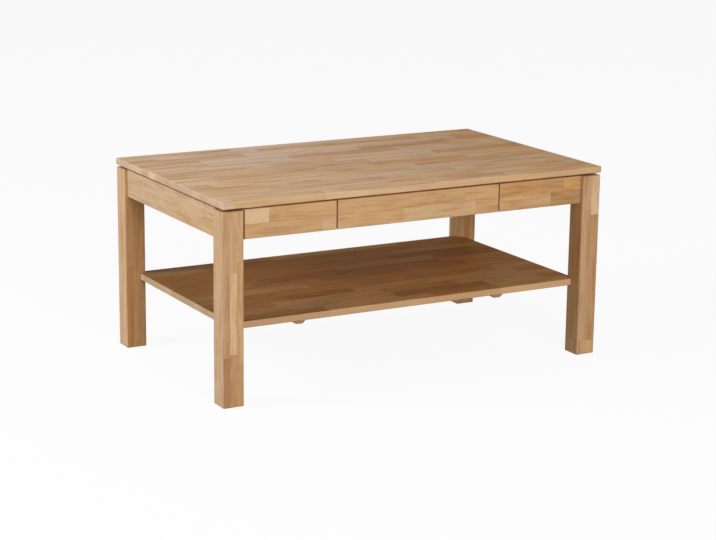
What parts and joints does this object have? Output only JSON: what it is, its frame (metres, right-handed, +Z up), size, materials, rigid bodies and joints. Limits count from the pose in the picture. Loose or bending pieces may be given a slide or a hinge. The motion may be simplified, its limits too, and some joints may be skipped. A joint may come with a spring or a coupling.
{
  "type": "coffee table",
  "caption": "Rectangular solid-wood coffee table on square legs, with a front drawer set between fixed panels, a shadow gap under the top and a lower shelf.",
  "frame": {"origin": "on the floor, under the middle of the table", "axes": "+X along the length to the right as seen from the drawer, +Y from the drawer to the back, +Z up"},
  "size_m": [1, 0.6, 0.465],
  "materials": {
    "oiled_hardwood": "oiled, edge-glued staves, satin",
    "inner_hardwood": "planed and lightly oiled",
    "plywood": "birch plywood, clear lacquer",
    "dowel_wood": "plain turned beech",
    "zinc_steel": "bright zinc plated",
    "nylon": "brown nylon"
  },
  "bodies": {
    "table": {"batten_screws": "zinc_steel", "block_screws": "zinc_steel", "bolt_nuts": "zinc_steel", "bolt_washers": "zinc_steel", "cleat_screws": "zinc_steel", "closing_stop_left": "inner_hardwood", "closing_stop_right": "inner_hardwood", "closing_stop_screws": "zinc_steel", "corner_block_front_left": "inner_hardwood", "corner_block_front_right": "inner_hardwood", "corner_block_rear_left": "inner_hardwood", "corner_block_rear_right": "inner_hardwood", "cross_rail": "inner_hardwood", "drawer_guide_left": "inner_hardwood", "drawer_guide_right": "inner_hardwood", "drawer_runner_left": "inner_hardwood", "drawer_runner_right": "inner_hardwood", "foot_glide_front_left": "nylon", "foot_glide_front_right": "nylon", "foot_glide_rear_left": "nylon", "foot_glide_rear_right": "nylon", "frame_dowels": "dowel_wood", "front_cleat_left": "inner_hardwood", "front_cleat_right": "inner_hardwood", "front_panel_left": "oiled_hardwood", "front_panel_right": "oiled_hardwood", "guide_dowels": "dowel_wood", "hanger_bolts": "zinc_steel", "leg_front_left": "oiled_hardwood", "leg_front_right": "oiled_hardwood", "leg_rear_left": "oiled_hardwood", "leg_rear_right": "oiled_hardwood", "lower_shelf": "oiled_hardwood", "rail_screws": "zinc_steel", "rear_apron": "oiled_hardwood", "rear_cleat": "inner_hardwood", "runner_screws": "zinc_steel", "shelf_batten_left": "oiled_hardwood", "shelf_batten_right": "oiled_hardwood", "shelf_dowels": "dowel_wood", "side_apron_left": "oiled_hardwood", "side_apron_right": "oiled_hardwood", "side_cleat_left": "inner_hardwood", "side_cleat_right": "inner_hardwood", "table_top": "oiled_hardwood", "top_screws": "zinc_steel"},
    "drawer": {"drawer_front": "oiled_hardwood", "drawer_side_left": "inner_hardwood", "drawer_side_right": "inner_hardwood", "drawer_back": "inner_hardwood", "drawer_bottom": "plywood", "drawer_stop_left": "inner_hardwood", "drawer_stop_right": "inner_hardwood", "drawer_front_dowels": "dowel_wood", "drawer_back_screws": "zinc_steel", "drawer_bottom_screws": "zinc_steel", "stop_block_screws": "zinc_steel"}
  },
  "joints": [
    {"name": "drawer_slide", "type": "slide", "parent": "table", "child": "drawer", "axis": [0, -1, 0], "range_m": [0, 0.3]}
  ]
}
